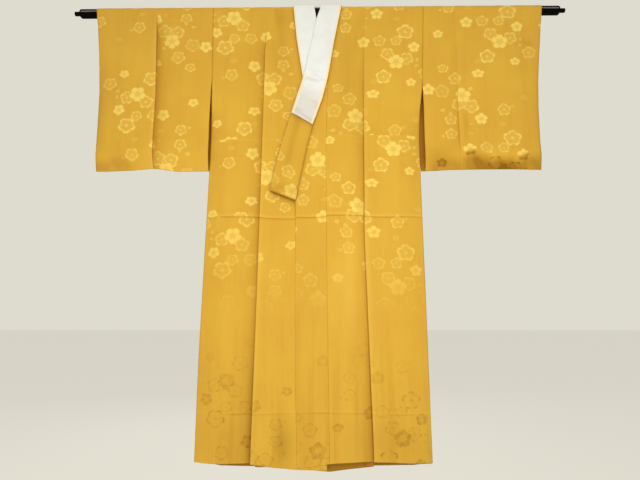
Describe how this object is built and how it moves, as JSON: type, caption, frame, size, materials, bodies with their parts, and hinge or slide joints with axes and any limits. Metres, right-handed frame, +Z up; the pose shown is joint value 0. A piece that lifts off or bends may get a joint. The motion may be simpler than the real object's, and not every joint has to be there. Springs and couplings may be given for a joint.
{
  "type": "nagajuban on a hanging rod",
  "caption": "Full-length under-kimono robe with a white collar cover, crossed left over right and hung flat by its sleeves on a straight round rod.",
  "frame": {"origin": "middle of the hanging rod's axis", "axes": "+X along the rod towards the wearer's left sleeve, the front faces -Y, +Z up"},
  "size_m": [1.424, 0.0517, 1.2996],
  "materials": {
    "silk": "satin damask, yellow gold",
    "white_cloth": "smooth white crepe",
    "black_gloss": "gloss black"
  },
  "bodies": {
    "root": {"rod": "black_gloss", "body_right": "silk", "body_left": "silk", "sleeve_right": "silk", "sleeve_left": "silk", "front_band_right": "silk", "front_band_left": "silk", "collar": "silk", "white_collar_cover": "white_cloth"}
  },
  "joints": []
}
